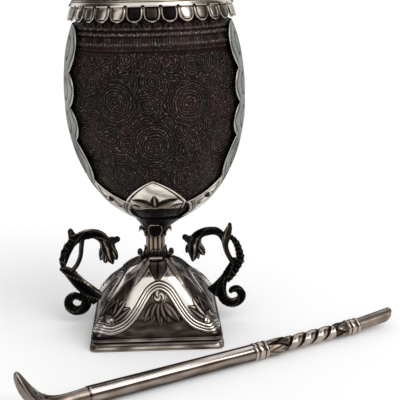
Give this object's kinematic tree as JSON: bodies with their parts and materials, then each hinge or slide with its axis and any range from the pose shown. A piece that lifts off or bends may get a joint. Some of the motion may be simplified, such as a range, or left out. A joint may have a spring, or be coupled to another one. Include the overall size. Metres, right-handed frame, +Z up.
{
  "type": "mate cup with straw",
  "caption": "Carved coconut drinking cup in a chased silver mount, on a square domed foot with two scroll handles, with its silver strainer straw lying beside it.",
  "frame": {"origin": "centre of the foot's underside, on the surface that the cup stands on", "axes": "+Z up, X from handle to handle with +X to the right of the shown side, -Y towards the shown side and the straw"},
  "size_m": [0.1741, 0.1315, 0.1743],
  "materials": {
    "coconut": "polished, carved in low relief",
    "polished_silver": "polished old silver with dark tarnish in the recesses",
    "strap_silver": "matt grey silver, engraved",
    "dark_silver": "tarnished silver",
    "handle_silver": "cast, nearly black with tarnish, bright on the ridges",
    "chased_silver": "polished and chased, dark in the recesses",
    "straw_silver": "polished old silver"
  },
  "bodies": {
    "root": {"calyx": "dark_silver", "coconut_shell": "coconut", "foot": "chased_silver", "handle_left": "handle_silver", "handle_right": "handle_silver", "lower_leaf_1": "polished_silver", "lower_leaf_2": "polished_silver", "lower_leaf_3": "polished_silver", "lower_leaf_4": "polished_silver", "rim_collar": "polished_silver", "rivet_left_back": "dark_silver", "rivet_left_front": "dark_silver", "rivet_right_back": "dark_silver", "rivet_right_front": "dark_silver", "stem": "polished_silver", "strap_left": "strap_silver", "strap_pin_left": "dark_silver", "strap_pin_right": "dark_silver", "strap_right": "strap_silver", "straw_lower_collar": "straw_silver", "straw_mouthpiece": "straw_silver", "straw_strainer": "straw_silver", "straw_tube": "straw_silver", "straw_twist": "straw_silver", "straw_upper_collar": "straw_silver", "upper_leaf_1": "dark_silver", "upper_leaf_2": "dark_silver", "upper_leaf_3": "dark_silver", "upper_leaf_4": "dark_silver"}
  },
  "joints": []
}
